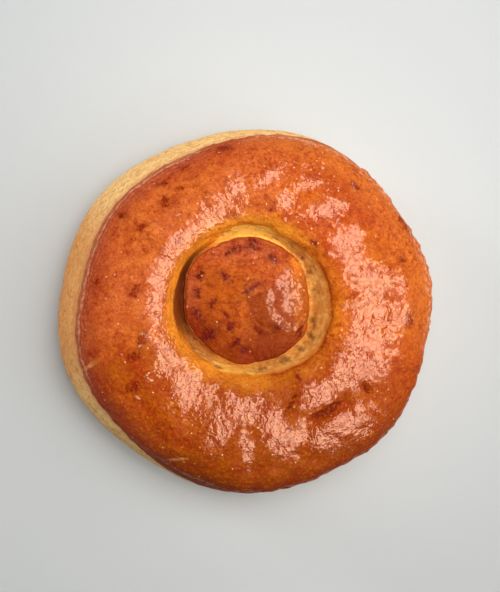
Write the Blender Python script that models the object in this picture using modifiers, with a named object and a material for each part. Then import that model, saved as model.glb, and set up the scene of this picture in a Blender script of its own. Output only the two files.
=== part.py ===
"""A biscuit roll: round, egg-washed soft dough, stamped before baking so that a button stands in a ring.

The dough is one solid. The stamp's cut has opened into a groove round the button, and the ring has risen
unevenly: its hole sits off the middle, its left flank bulges out bare below the glazed cap, and a few folds
dent its skin. Metres, +Z up, with the origin under the middle of the roll, on the surface that it rests on.
"""

import math

import bpy
import numpy as np
from mathutils import Vector, noise

# Driving sizes, seen from above
ROLL_RADIUS = 0.05175  # the roll at its widest level
BUTTON_RADIUS = 0.01735
GROOVE_RADIUS = 0.0207  # where the ring's skin begins, outside the groove
CREST_RADIUS = 0.0295  # the ring's highest line

# Driving heights above the table
CREST_HEIGHT = 0.0424
BUTTON_HEIGHT = 0.0406
BUTTON_DOME = 0.0047  # from the button's middle down to its edge
RIM_HEIGHT = 0.0380  # the ring's skin where it meets the groove
GROOVE_HEIGHT = 0.0326
WIDEST_HEIGHT = 0.0140
TOP_SLOPE = 0.040  # the top falls this share of its distance towards the side across from the bare flank
CAP_FALL = 0.0052  # how far the cap has sloped down before its shoulder turns
CAP_FULLNESS = 4.2  # 2 makes the shoulder a quarter of an ellipse, and more makes it tighter

# The bare flank, where the dough has bulged out under the glazed cap
BARE_SIDE = 165.0  # degrees from +X
BARE_BULGE = 0.0050
BARE_TUCK = 0.0005  # how far the bare dough is drawn in just under the glaze's edge
CAP_RISE = 0.0140  # how much higher the cap ends there than across from it
GLAZE_INSET = 0.0007  # the glaze's edge inside the cap's widest line, seen from above

# The underside, flat but for its rim, which rests on low spots
REST_SPOTS = 6
REST_LIFT = 0.0005  # how far the rim stands off the table between the spots
UNDERSIDE_RIM = (0.60, 0.85)  # the shares of the radius where the rim starts to lift, and where it has lifted
FOOT_HEIGHT = 0.005  # the lift fades out up to this height
REST_STATION = 30  # the outermost station of the section that touches the table

# Unevenness round the roll: (waves in one turn, size, direction of a crest in degrees from +X)
OUTLINE_WAVES = (
    (1, 0.00374, -71),
    (2, 0.00052, 6),
    (3, 0.00048, -57),
    (5, 0.00038, -7),
    (6, 0.00039, 19),
    (7, 0.00030, 6),
    (8, 0.00017, 6),
    (9, 0.00011, 0),
)
BUTTON_WAVES = (
    (1, 0.00062, -29),
    (2, 0.00036, -40),
    (3, 0.00011, 52),
    (4, 0.00024, -37),
    (5, 0.00017, -22),
    (6, 0.00027, 25),
)
GROOVE_WAVES = (
    (1, 0.00183, -27),
    (2, 0.00083, -10),
    (3, 0.00060, -28),
    (5, 0.00015, 20),
    (6, 0.00021, 28),
)
GROOVE_HEIGHT_WAVES = ((1, 0.0015, 20),)
RIM_WAVES = ((1, 0.0020, -10),)
CREST_WAVES = ((1, 0.0036, 246), (2, 0.0011, 90))
FULLNESS_WAVES = ((1, 1.4, -30),)

# Folds and ridges in the ring's skin, placed from the button's centre: (direction, distance, heading, length,
# width, rise). Directions and headings are in degrees from +X, and a fold's rise is below zero.
FOLDS = (
    (306, 0.0380, 28, 0.0125, 0.0013, -0.0013),
    (318, 0.0398, 25, 0.0090, 0.0026, -0.0009),
    (307, 0.0425, 22, 0.0190, 0.0042, 0.0007),
    (323, 0.0408, -52, 0.0050, 0.0016, -0.0006),
    (293, 0.0305, 62, 0.0080, 0.0018, -0.0006),
    (236, 0.0340, 110, 0.0110, 0.0030, -0.0006),
    (352, 0.0370, 80, 0.0120, 0.0024, -0.0005),
    (62, 0.0360, 150, 0.0120, 0.0030, -0.0005),
)
LUMP_SPACING = 0.013
LUMP_SIZE = 0.00055  # how far the low swells of the skin stand out

PROFILE_STEPS = 52  # rings from the button's middle round to the middle of the underside
TURN_STEPS = 18 * REST_SPOTS
WELD = 0.00001


def uneven(mean, waves, turn):
    """A size that varies round the roll, at each angle in turn."""
    return mean + sum(
        size * np.cos(count * (turn - math.radians(toward)))
        for count, size, toward in waves
    )


def bare_share(turn):
    """From 0 across from the bare flank to 1 on it."""
    return (0.5 + 0.5 * np.cos(turn - math.radians(BARE_SIDE))) ** 1.4


def section(turn):
    """The cage of the roll's section at each angle: (stations, 2, angles), as distance out and height."""
    button = uneven(BUTTON_RADIUS, BUTTON_WAVES, turn)
    groove = uneven(GROOVE_RADIUS, GROOVE_WAVES, turn)
    crest = uneven(CREST_RADIUS, CREST_WAVES, turn)
    groove_height = uneven(GROOVE_HEIGHT, GROOVE_HEIGHT_WAVES, turn)
    rim_height = uneven(RIM_HEIGHT, RIM_WAVES, turn)
    widest = uneven(ROLL_RADIUS, OUTLINE_WAVES, turn)
    bare = bare_share(turn)
    cap = widest - BARE_BULGE * bare
    cap_foot = WIDEST_HEIGHT + CAP_RISE * bare
    glaze = cap - GLAZE_INSET
    fullness = uneven(CAP_FULLNESS, FULLNESS_WAVES, turn)
    fall = CAP_FALL * (1 - 0.5 * bare)
    gap = groove - button
    edge_height = BUTTON_HEIGHT - BUTTON_DOME

    def rise(share):
        """A place on the ring's inner slope, from its rim (0) to its crest (1)."""
        height = rim_height + (CREST_HEIGHT - rim_height) * (1 - (1 - share) ** 2.2) ** (1 / 2.2)
        return groove + share * (crest - groove), height

    def shoulder(share):
        """A place on the cap's outer side, from the ring's crest (0) to the glaze's edge (1)."""
        out = crest + share * (glaze - crest)
        reach = (out - crest) / (cap - crest)
        turned = (CREST_HEIGHT - cap_foot - fall) * (1 - reach**fullness) ** (1 / fullness)
        return out, cap_foot + turned + fall * (1 - reach**1.5)

    def bulge(share, fall):
        """A place on the bare dough, from the glaze's edge (0, 0) out to the widest line (1, 1)."""
        return glaze + share * (widest - glaze), glaze_height + fall * (WIDEST_HEIGHT - glaze_height)

    glaze_height = shoulder(1)[1]
    tuck_out, tuck_height = bulge(0.10, 0.12)
    cage = (
        # the button's dome
        (0 * turn, BUTTON_HEIGHT),
        (0.30 * button, BUTTON_HEIGHT - 0.05 * BUTTON_DOME),
        (0.60 * button, BUTTON_HEIGHT - 0.30 * BUTTON_DOME),
        (0.84 * button, BUTTON_HEIGHT - 0.62 * BUTTON_DOME),
        (0.97 * button, BUTTON_HEIGHT - 0.85 * BUTTON_DOME),
        # its cut edge, and down its wall
        (1.005 * button, edge_height),
        (1.005 * button, edge_height - 0.0012),
        (button - 0.0002, groove_height + 0.0009),
        # the groove's floor, and up its bare slope to the ring's skin
        (button + 0.12 * gap, groove_height),
        (button + 0.35 * gap, groove_height + 0.0006),
        (groove - 0.20 * gap, rim_height - 0.0016),
        rise(0),
        rise(0.12),
        # the ring
        rise(0.35),
        rise(0.65),
        shoulder(0),
        shoulder(0.30),
        shoulder(0.56),
        shoulder(0.76),
        shoulder(0.89),
        shoulder(0.97),
        # the glaze's edge, and the bare dough under it
        shoulder(1),
        (tuck_out - BARE_TUCK * bare, tuck_height),
        bulge(0.48, 0.34),
        bulge(0.82, 0.60),
        (widest, WIDEST_HEIGHT + 0.0020),
        (widest, WIDEST_HEIGHT - 0.0040),
        # the foot, and the flat underside
        (widest - 0.0014, 0.0048),
        (widest - 0.0036, 0.0013),
        (widest - 0.0060, 0.0),
        (widest - 0.0085, 0.0),
        (0.62 * widest, 0.0),
        (0.30 * widest, 0.0),
        (0 * turn, 0.0),
    )
    return np.array([(out, height + 0 * turn) for out, height in cage])


def along(cage, station):
    """The point at each station of the curve that a cage guides: a cubic B-spline, mirrored at both ends."""
    mirror = np.array([-1.0, 1.0])[:, None]
    cage = np.concatenate([cage[1:2] * mirror, cage, cage[-2:-1] * mirror])
    first = np.minimum(station.astype(int), len(cage) - 4)
    s = station - first
    weights = (
        (1 - s) ** 3 / 6,
        (3 * s**3 - 6 * s**2 + 4) / 6,
        (-3 * s**3 + 3 * s**2 + 3 * s + 1) / 6,
        s**3 / 6,
    )
    column = np.arange(cage.shape[2])
    return sum(w[:, None] * cage[first + k, :, column] for k, w in enumerate(weights))


def stations(cage):
    """PROFILE_STEPS + 1 stations, closer together where the section turns or is short, as at the groove."""
    fine = np.linspace(0, len(cage) - 1, 1201)
    path = along(np.repeat(cage, len(fine), axis=2), fine)
    ends = np.diff(path, axis=0)
    length = np.hypot(*ends.T)
    heading = np.unwrap(np.arctan2(ends[:, 1], ends[:, 0]))
    bend = np.abs(np.gradient(heading))
    cost = length / length.sum() + 0.55 * bend / bend.sum()
    reached = np.concatenate([[0], np.cumsum(cost)])
    spaced = np.interp(np.linspace(0, reached[-1], PROFILE_STEPS + 1), reached, fine)
    spaced[np.abs(spaced - REST_STATION).argmin()] = REST_STATION
    return spaced


def turned_blank():
    """The roll's mean section turned round its axis. Each point keeps its station along the section."""
    cage = section(np.zeros(1))
    station = stations(cage)
    path = along(np.repeat(cage, len(station), axis=2), station)
    profile = bpy.data.meshes.new("profile")
    profile.from_pydata(
        [(out, 0, height) for out, height in path],
        [(i, i + 1) for i in range(PROFILE_STEPS)],
        [],
    )
    kept = profile.attributes.new("station", "FLOAT", "POINT")
    kept.data.foreach_set("value", station.astype(np.float32))
    blank = bpy.data.objects.new("blank", profile)
    bpy.context.scene.collection.objects.link(blank)
    screw = blank.modifiers.new("turn", "SCREW")
    screw.axis = "Z"
    screw.steps = screw.render_steps = TURN_STEPS
    screw.use_merge_vertices = True
    screw.merge_threshold = WELD
    graph = bpy.context.evaluated_depsgraph_get()
    mesh = bpy.data.meshes.new_from_object(blank.evaluated_get(graph))
    bpy.data.objects.remove(blank)
    return mesh


def rim_lift(turn, out, height):
    """How far the underside's rim stands off the table."""
    flat, lifted = UNDERSIDE_RIM
    rim = np.clip((out / ROLL_RADIUS - flat) / (lifted - flat), 0, 1)
    low = np.clip(1 - height / FOOT_HEIGHT, 0, 1)
    return REST_LIFT * rim * low * (1 - np.cos(REST_SPOTS * turn)) / 2


def folds(x, y):
    """How far the folds and ridges raise the skin at each place, seen from above."""
    raised = np.zeros_like(x)
    for toward, out, heading, length, width, rise in FOLDS:
        a, h = math.radians(toward), math.radians(heading)
        dx, dy = x - out * math.cos(a), y - out * math.sin(a)
        run = dx * math.cos(h) + dy * math.sin(h)
        across = dy * math.cos(h) - dx * math.sin(h)
        raised += rise * np.exp(-((2 * run / length) ** 4) - (across / width) ** 2)
    return raised


def lumps(points):
    """The low swells of the skin, from -1 to 1."""
    return np.array([noise.noise(Vector(p) / LUMP_SPACING) for p in points])


def shape_dough(mesh):
    """Moves the turned blank's points to the uneven roll, and stands it on the table over the origin."""
    count = len(mesh.vertices)
    flat = np.zeros(count * 3)
    mesh.vertices.foreach_get("co", flat)
    x, y, _ = flat.reshape(-1, 3).T
    turn = np.arctan2(y, x)
    station = np.zeros(count)
    mesh.attributes["station"].data.foreach_get("value", station)
    out, height = along(section(turn), station).T
    height += rim_lift(turn, out, height)
    x, y = out * np.cos(turn), out * np.sin(turn)
    risen = np.clip(height / CREST_HEIGHT, 0, 1)
    a = math.radians(BARE_SIDE)
    height += TOP_SLOPE * (x * math.cos(a) + y * math.sin(a)) * risen**2
    swell = LUMP_SIZE * lumps(np.stack([x, y, height], axis=1)) * risen
    height += swell + folds(x, y) * risen**2
    x += swell * np.cos(turn) * (1 - risen)
    y += swell * np.sin(turn) * (1 - risen)
    x -= (x.min() + x.max()) / 2
    y -= (y.min() + y.max()) / 2
    mesh.vertices.foreach_set("co", np.stack([x, y, height], axis=1).ravel())
    mesh.update()


def glazed_crust():
    """Egg-washed crust: orange-brown, with a soft gloss."""
    crust = bpy.data.materials.new("glazed_crust")
    crust.use_nodes = True
    shader = crust.node_tree.nodes["Principled BSDF"]
    shader.inputs["Base Color"].default_value = (0.56, 0.155, 0.022, 1)
    shader.inputs["Roughness"].default_value = 0.38
    shader.inputs["Metallic"].default_value = 0
    return crust


def main():
    for old in list(bpy.data.objects):
        bpy.data.objects.remove(old)
    bread = bpy.data.collections.new("biscuit_roll")
    bpy.context.scene.collection.children.link(bread)
    mesh = turned_blank()
    mesh.name = "roll"
    shape_dough(mesh)
    mesh.shade_smooth()
    mesh.materials.clear()
    mesh.materials.append(glazed_crust())
    bread.objects.link(bpy.data.objects.new("roll", mesh))


main()
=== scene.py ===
"""The looks of a biscuit roll: its fine skin, its glaze and bare dough, and the daylight on it.

The skin repeats the even form of the CAD roll with about twenty times as many faces, and adds the
small relief that baking left: swells, puckers, blisters, pits and cracks. Metres, +Z up, in the
frame of the CAD part.
"""

import math
import random

import bpy
import numpy as np
from mathutils import Matrix, Vector, noise


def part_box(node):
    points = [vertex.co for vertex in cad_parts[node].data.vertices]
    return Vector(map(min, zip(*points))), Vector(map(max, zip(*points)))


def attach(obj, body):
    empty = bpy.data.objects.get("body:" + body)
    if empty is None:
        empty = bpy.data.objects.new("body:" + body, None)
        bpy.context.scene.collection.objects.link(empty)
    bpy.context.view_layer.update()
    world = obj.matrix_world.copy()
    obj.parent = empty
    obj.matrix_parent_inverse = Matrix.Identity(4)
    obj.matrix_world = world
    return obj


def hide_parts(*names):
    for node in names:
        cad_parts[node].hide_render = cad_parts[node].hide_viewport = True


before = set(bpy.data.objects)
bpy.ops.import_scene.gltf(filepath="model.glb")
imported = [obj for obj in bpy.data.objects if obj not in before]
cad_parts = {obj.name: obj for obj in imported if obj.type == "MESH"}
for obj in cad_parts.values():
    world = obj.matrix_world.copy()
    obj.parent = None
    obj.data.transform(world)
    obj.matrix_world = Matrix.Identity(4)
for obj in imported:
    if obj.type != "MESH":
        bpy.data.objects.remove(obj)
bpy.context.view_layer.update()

# -----------------------------------------------------------------------------
# The roll's even form, as in the CAD part
# -----------------------------------------------------------------------------

# Driving sizes, seen from above
ROLL_RADIUS = 0.05175  # the roll at its widest level
BUTTON_RADIUS = 0.01735
GROOVE_RADIUS = 0.0207  # where the ring's skin begins, outside the groove
CREST_RADIUS = 0.0295  # the ring's highest line

# Driving heights above the table
CREST_HEIGHT = 0.0424
BUTTON_HEIGHT = 0.0406
BUTTON_DOME = 0.0047  # from the button's middle down to its edge
RIM_HEIGHT = 0.0380  # the ring's skin where it meets the groove
GROOVE_HEIGHT = 0.0326
WIDEST_HEIGHT = 0.0140
TOP_SLOPE = 0.040  # how steeply the whole top rises towards the bare flank
CAP_FALL = 0.0052  # how far the cap has sloped down before its shoulder turns
CAP_FULLNESS = 4.2  # 2 makes the shoulder a quarter of an ellipse, and more makes it tighter

# The bare flank, where the dough has bulged out under the glazed cap
BARE_SIDE = 165.0  # degrees from +X
BARE_BULGE = 0.0050
BARE_TUCK = 0.0005  # how far the bare dough is drawn in just under the glaze's edge
CAP_RISE = 0.0140  # how much higher the cap ends there than across from it
GLAZE_INSET = 0.0007  # the glaze's edge inside the cap's widest line, seen from above

# The underside, flat but for its rim, which rests on low spots
REST_SPOTS = 6
REST_LIFT = 0.0005  # how far the rim stands off the table between the spots
UNDERSIDE_RIM = (0.60, 0.85)  # shares of the radius: where the lift starts, and where it is full
FOOT_HEIGHT = 0.005  # the lift fades out up to this height

# Unevenness round the roll: (waves in one turn, size, direction of a crest in degrees from +X)
OUTLINE_WAVES = (
    (1, 0.00374, -71),
    (2, 0.00052, 6),
    (3, 0.00048, -57),
    (5, 0.00038, -7),
    (6, 0.00039, 19),
    (7, 0.00030, 6),
    (8, 0.00017, 6),
    (9, 0.00011, 0),
)
BUTTON_WAVES = (
    (1, 0.00062, -29),
    (2, 0.00036, -40),
    (3, 0.00011, 52),
    (4, 0.00024, -37),
    (5, 0.00017, -22),
    (6, 0.00027, 25),
)
GROOVE_WAVES = (
    (1, 0.00183, -27),
    (2, 0.00083, -10),
    (3, 0.00060, -28),
    (5, 0.00015, 20),
    (6, 0.00021, 28),
)
GROOVE_HEIGHT_WAVES = ((1, 0.0015, 20),)
RIM_WAVES = ((1, 0.0020, -10),)
CREST_WAVES = ((1, 0.0036, 246), (2, 0.0011, 90))
FULLNESS_WAVES = ((1, 1.4, -30),)

# Folds and ridges in the ring's skin, placed from the button's centre: (direction, distance,
# heading, length, width, rise). Directions and headings are in degrees from +X, and a fold's rise
# is below zero.
FOLDS = (
    (306, 0.0380, 28, 0.0125, 0.0013, -0.0013),
    (318, 0.0398, 25, 0.0090, 0.0026, -0.0009),
    (307, 0.0425, 22, 0.0190, 0.0042, 0.0007),
    (323, 0.0408, -52, 0.0050, 0.0016, -0.0006),
    (293, 0.0305, 62, 0.0080, 0.0018, -0.0006),
    (236, 0.0340, 110, 0.0110, 0.0030, -0.0006),
    (352, 0.0370, 80, 0.0120, 0.0024, -0.0005),
    (62, 0.0360, 150, 0.0120, 0.0030, -0.0005),
)
LUMP_SPACING = 0.013
LUMP_SIZE = 0.00055  # how far the low swells of the skin stand out

# Stations of the section, by their place in its cage
BUTTON_EDGE = 5
RING_SKIN = 11
GLAZE_EDGE = 21
UNDERSIDE = 29


def uneven(mean, waves, turn):
    """A size that varies round the roll, at each angle in turn."""
    return mean + sum(
        size * np.cos(count * (turn - math.radians(toward)))
        for count, size, toward in waves
    )


def bare_share(turn):
    """From 0 across from the bare flank to 1 on it."""
    return (0.5 + 0.5 * np.cos(turn - math.radians(BARE_SIDE))) ** 1.4


def section(turn):
    """The cage of the roll's section: (stations, 2, angles), as distance out and height."""
    button = uneven(BUTTON_RADIUS, BUTTON_WAVES, turn)
    groove = uneven(GROOVE_RADIUS, GROOVE_WAVES, turn)
    crest = uneven(CREST_RADIUS, CREST_WAVES, turn)
    groove_height = uneven(GROOVE_HEIGHT, GROOVE_HEIGHT_WAVES, turn)
    rim_height = uneven(RIM_HEIGHT, RIM_WAVES, turn)
    widest = uneven(ROLL_RADIUS, OUTLINE_WAVES, turn)
    bare = bare_share(turn)
    cap = widest - BARE_BULGE * bare
    cap_foot = WIDEST_HEIGHT + CAP_RISE * bare
    glaze = cap - GLAZE_INSET
    fullness = uneven(CAP_FULLNESS, FULLNESS_WAVES, turn)
    fall = CAP_FALL * (1 - 0.5 * bare)
    gap = groove - button
    edge_height = BUTTON_HEIGHT - BUTTON_DOME

    def rise(share):
        """A place on the ring's inner slope, from its rim (0) to its crest (1)."""
        height = rim_height + (CREST_HEIGHT - rim_height) * (1 - (1 - share) ** 2.2) ** (1 / 2.2)
        return groove + share * (crest - groove), height

    def shoulder(share):
        """A place on the cap's outer side, from the ring's crest (0) to the glaze's edge (1)."""
        out = crest + share * (glaze - crest)
        reach = (out - crest) / (cap - crest)
        turned = (CREST_HEIGHT - cap_foot - fall) * (1 - reach**fullness) ** (1 / fullness)
        return out, cap_foot + turned + fall * (1 - reach**1.5)

    def bulge(share, fall):
        """A place on the bare dough, from the glaze's edge (0, 0) out to the widest line (1, 1)."""
        out = glaze + share * (widest - glaze)
        return out, glaze_height + fall * (WIDEST_HEIGHT - glaze_height)

    glaze_height = shoulder(1)[1]
    tuck_out, tuck_height = bulge(0.10, 0.12)
    cage = (
        # the button's dome
        (0 * turn, BUTTON_HEIGHT),
        (0.30 * button, BUTTON_HEIGHT - 0.05 * BUTTON_DOME),
        (0.60 * button, BUTTON_HEIGHT - 0.30 * BUTTON_DOME),
        (0.84 * button, BUTTON_HEIGHT - 0.62 * BUTTON_DOME),
        (0.97 * button, BUTTON_HEIGHT - 0.85 * BUTTON_DOME),
        # its cut edge, and down its wall
        (1.005 * button, edge_height),
        (1.005 * button, edge_height - 0.0012),
        (button - 0.0002, groove_height + 0.0009),
        # the groove's floor, and up its bare slope to the ring's skin
        (button + 0.12 * gap, groove_height),
        (button + 0.35 * gap, groove_height + 0.0006),
        (groove - 0.20 * gap, rim_height - 0.0016),
        rise(0),
        rise(0.12),
        # the ring
        rise(0.35),
        rise(0.65),
        shoulder(0),
        shoulder(0.30),
        shoulder(0.56),
        shoulder(0.76),
        shoulder(0.89),
        shoulder(0.97),
        # the glaze's edge, and the bare dough under it
        shoulder(1),
        (tuck_out - BARE_TUCK * bare, tuck_height),
        bulge(0.48, 0.34),
        bulge(0.82, 0.60),
        (widest, WIDEST_HEIGHT + 0.0020),
        (widest, WIDEST_HEIGHT - 0.0040),
        # the foot, and the flat underside
        (widest - 0.0014, 0.0048),
        (widest - 0.0036, 0.0013),
        (widest - 0.0060, 0.0),
        (widest - 0.0085, 0.0),
        (0.62 * widest, 0.0),
        (0.30 * widest, 0.0),
        (0 * turn, 0.0),
    )
    return np.array([(out, height + 0 * turn) for out, height in cage])


def along(cage, station):
    """The point at each station of a cage's curve: a cubic B-spline, mirrored at both ends."""
    mirror = np.array([-1.0, 1.0])[:, None]
    cage = np.concatenate([cage[1:2] * mirror, cage, cage[-2:-1] * mirror])
    first = np.minimum(station.astype(int), len(cage) - 4)
    s = station - first
    weights = (
        (1 - s) ** 3 / 6,
        (3 * s**3 - 6 * s**2 + 4) / 6,
        (-3 * s**3 + 3 * s**2 + 3 * s + 1) / 6,
        s**3 / 6,
    )
    column = np.arange(cage.shape[2])
    return sum(w[:, None] * cage[first + k, :, column] for k, w in enumerate(weights))


def rim_lift(turn, out, height):
    """How far the underside's rim stands off the table."""
    flat, lifted = UNDERSIDE_RIM
    rim = np.clip((out / ROLL_RADIUS - flat) / (lifted - flat), 0, 1)
    low = np.clip(1 - height / FOOT_HEIGHT, 0, 1)
    return REST_LIFT * rim * low * (1 - np.cos(REST_SPOTS * turn)) / 2


def from_mark(x, y, toward, out, heading):
    """How far each place is from a mark's middle, along its heading and across it."""
    a, h = math.radians(toward), math.radians(heading)
    dx, dy = x - out * math.cos(a), y - out * math.sin(a)
    return dx * math.cos(h) + dy * math.sin(h), dy * math.cos(h) - dx * math.sin(h)


def folds(x, y):
    """How far the folds and ridges raise the skin at each place, seen from above."""
    raised = np.zeros_like(x)
    for toward, out, heading, length, width, rise in FOLDS:
        run, across = from_mark(x, y, toward, out, heading)
        raised += rise * np.exp(-((2 * run / length) ** 4) - (across / width) ** 2)
    return raised


def lumps(points):
    """The low swells of the skin, from -1 to 1."""
    return np.array([noise.noise(Vector(p) / LUMP_SPACING) for p in points])


def form(station, turn):
    """The roll's even skin at each station and angle, from the button's centre: (count, 3)."""
    out, height = along(section(turn), station).T
    height += rim_lift(turn, out, height)
    x, y = out * np.cos(turn), out * np.sin(turn)
    risen = np.clip(height / CREST_HEIGHT, 0, 1)
    a = math.radians(BARE_SIDE)
    height += TOP_SLOPE * (x * math.cos(a) + y * math.sin(a)) * risen**2
    swell = LUMP_SIZE * lumps(np.stack([x, y, height], axis=1)) * risen
    height += swell + folds(x, y) * risen**2
    x += swell * np.cos(turn) * (1 - risen)
    y += swell * np.sin(turn) * (1 - risen)
    return np.stack([x, y, height], axis=1)


# -----------------------------------------------------------------------------
# The fine skin
# -----------------------------------------------------------------------------

TURNS = 500
RINGS = 198  # from the button's middle to the middle of the underside, both of them single points
UNDERSIDE_RINGS = 9
SECTION_SAMPLES = 4001  # for spacing the rings evenly
FLANK_COARSENESS = 1.7  # how much longer a step is on the flank and foot than on the top

# Blisters, scattered over the glaze
SEED = 7
BLISTERS = 260
BLISTER_RADIUS = (0.00035, 0.0010)
BLISTER_HEIGHT = (0.00005, 0.00020)
BLISTER_STEEPNESS = 1.6
BLISTER_FLOOR = 0.02  # the lowest place for one
MIDDLE_CHANCE = 0.15  # how often one is kept in the middle, and more often towards the rim

# Noises of the small relief: (spacing, octaves), and for the fibre how far it is squeezed
SWELL = (0.0095, 2)
DENT = (0.0042, 2)
PUCKER = (0.0019, 2)
FIBRE = (0.0016, 3, (0.35, 0.35, 1.6))
BURR = (0.0021, 4)

# How far the small relief stands out, for a noise or a mark of 1
EDGE_SWELL_HEIGHT = 0.00025
INNER_SWELL_HEIGHT = 0.00035  # added well inside the edge, where the skin isn't drawn smooth
DENT_HEIGHT = 0.00034
PUCKER_HEIGHT = 0.00011
DOUGH_DENT_HEIGHT = 0.00020
DOUGH_PUCKER_HEIGHT = 0.00012
FIBRE_HEIGHT = 0.00012
BURR_HEIGHT = 0.00065  # the ragged edge of the glaze
BURR_DEPTH = 0.15  # how deep it dips, as a share of that
BURR_LOSS = (0.7, 0.5)  # the share it loses over the bare flank, and on its smoother front
GLINT_HEIGHT = 0.00020
PIT_DEPTH = 0.00045
CRACK_DEPTH = 0.00030
CREASE_DEPTH = 0.00070
OFF_TABLE = (0.0015, 0.006)  # the heights between which all of it comes in

# Distances along the skin, in millimetres
BORDER = 0.3  # the glaze's relief fades out over this, to each side of its borders
BURR_WIDTH = 1.1
DRAWN_SMOOTH = 9  # how far in from its edge the glaze is drawn smooth
WASH_BELOW_EDGE = 11  # how far the wash runs down over the flank where no bare dough shows

# Marks in the skin, placed from the button's centre: (direction, distance, heading, length, width).
# Directions and headings are in degrees from +X.
POOLS = (  # where the egg wash lies thick and shines
    (28, 0.0312, -87, 0.0088, 0.0080),
    (8, 0.0350, -15, 0.0150, 0.0080),
    (355, 0.0368, -7, 0.0160, 0.0085),
    (343, 0.0352, 70, 0.0095, 0.0130),
    (329, 0.0368, 8, 0.0130, 0.0085),
    (308, 0.0324, 22, 0.0110, 0.0055),
    (305, 0.0422, 14, 0.0190, 0.0106),
    (48, 0.0322, 8, 0.0096, 0.0042),
    (62, 0.0352, 14, 0.0060, 0.0030),
    (68, 0.0282, 80, 0.0046, 0.0034),
    (80, 0.0336, 36, 0.0094, 0.0032),
    (98, 0.0268, -96, 0.0115, 0.0054),
    (114, 0.0238, -126, 0.0145, 0.0076),
    (136, 0.0228, 45, 0.0120, 0.0062),
    (158, 0.0232, -103, 0.0135, 0.0066),
    (187, 0.0231, -84, 0.0135, 0.0068),
    (214, 0.0240, -63, 0.0135, 0.0078),
    (236, 0.0290, -57, 0.0170, 0.0080),
    (259, 0.0292, -24, 0.0130, 0.0060),
    (258, 0.0365, -119, 0.0120, 0.0050),
    (282, 0.0352, -59, 0.0170, 0.0065),
    (291, 0.0400, 11, 0.0085, 0.0045),
    (270, 0.0400, 100, 0.0090, 0.0030),
    (8, 0.0124, 92, 0.0104, 0.0042),
    (26, 0.0100, 64, 0.0048, 0.0017),
    (353, 0.0066, 90, 0.0056, 0.0018),
    (328, 0.0099, -44, 0.0054, 0.0019),
    (329, 0.0145, 2, 0.0050, 0.0019),
    (336, 0.0165, 57, 0.0030, 0.0013),
    (197, 0.0138, -63, 0.0032, 0.0012),
)
SCORCHES = (  # small dark blotches
    (172, 0.0137, 60, 0.0034, 0.0022),
    (133, 0.0084, -57, 0.0044, 0.0022),
    (59, 0.0040, 29, 0.0062, 0.0014),
    (90, 0.0021, 90, 0.0022, 0.0022),
    (190, 0.0096, 70, 0.0036, 0.0016),
    (239, 0.0085, 80, 0.0030, 0.0022),
    (257, 0.0118, 42, 0.0042, 0.0014),
    (267, 0.0141, -14, 0.0032, 0.0018),
    (84, 0.0147, -10, 0.0050, 0.0030),
    (100, 0.0138, 20, 0.0060, 0.0022),
    (58, 0.0131, -37, 0.0044, 0.0026),
    (316, 0.0114, 15, 0.0032, 0.0020),
    (290, 0.0090, -30, 0.0050, 0.0014),
    (224, 0.0136, 30, 0.0060, 0.0030),
    (150, 0.0140, 60, 0.0040, 0.0024),
    (196, 0.0140, -63, 0.0040, 0.0022),
    (215, 0.0070, -50, 0.0030, 0.0012),
    (327, 0.0176, 45, 0.0034, 0.0012),
    (176, 0.0303, 60, 0.0042, 0.0024),
    (173.6, 0.0411, 0, 0.0034, 0.0022),
    (206.5, 0.0343, 10, 0.0040, 0.0026),
    (217, 0.0391, 22, 0.0054, 0.0026),
    (201, 0.0302, 80, 0.0046, 0.0026),
    (146, 0.0344, 20, 0.0038, 0.0018),
    (146.4, 0.0405, 0, 0.0030, 0.0018),
    (140, 0.0247, 30, 0.0024, 0.0016),
    (129.5, 0.0336, 20, 0.0050, 0.0030),
    (126, 0.0386, 20, 0.0034, 0.0016),
    (121, 0.0350, 20, 0.0032, 0.0016),
    (115, 0.0390, 10, 0.0030, 0.0018),
    (98, 0.0410, 10, 0.0048, 0.0024),
    (303, 0.0253, -46, 0.0022, 0.0016),
    (352, 0.0450, 60, 0.0040, 0.0026),
    (14, 0.0440, 60, 0.0026, 0.0022),
    (40, 0.0234, -37, 0.0028, 0.0012),
    (75, 0.0250, 0, 0.0030, 0.0014),
    (46, 0.0430, -40, 0.0036, 0.0014),
    (25, 0.0485, -60, 0.0060, 0.0016),
)
# The placed glints are raised, and their tops are also painted pale as painted highlights.
GLINTS = (  # blisters that catch the light
    (198, 0.0297, 0, 0.0018, 0.0010),
    (203, 0.0313, 30, 0.0016, 0.0010),
    (219.4, 0.0338, -20, 0.0028, 0.0014),
    (216.7, 0.0336, 40, 0.0024, 0.0009),
    (222, 0.0394, -50, 0.0020, 0.0010),
    (129, 0.0292, 20, 0.0018, 0.0008),
    (150, 0.0257, 40, 0.0024, 0.0012),
)
PITS = (  # holes in the groove's bare dough
    (62, 0.0183, -25, 0.0026, 0.0011),
    (35, 0.0189, -60, 0.0016, 0.0010),
    (22, 0.0189, -30, 0.0024, 0.0012),
    (7, 0.0186, 10, 0.0018, 0.0010),
    (342, 0.0195, -80, 0.0042, 0.0014),
    (330, 0.0206, -60, 0.0030, 0.0014),
    (319, 0.0200, 30, 0.0036, 0.0018),
    (304, 0.0200, 10, 0.0034, 0.0014),
    (283, 0.0194, 0, 0.0040, 0.0014),
    (247, 0.0196, -20, 0.0030, 0.0011),
    (222, 0.0192, -50, 0.0030, 0.0012),
    (112, 0.0186, 25, 0.0040, 0.0010),
)
CRACKS = (  # thin splits where the pale dough shows through the glaze
    (202.5, 0.0446, 37, 0.0080, 0.0013),
    (247, 0.0472, 10, 0.0064, 0.0009),
)
CREASES = (  # folds where the skin is drawn in sharply
    (306, 0.0375, 27, 0.0100, 0.0015),
    (323, 0.0410, -52, 0.0034, 0.0010),
    (293, 0.0306, 61, 0.0076, 0.0010),
    (330, 0.0171, 50, 0.0036, 0.0010),
)
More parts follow.
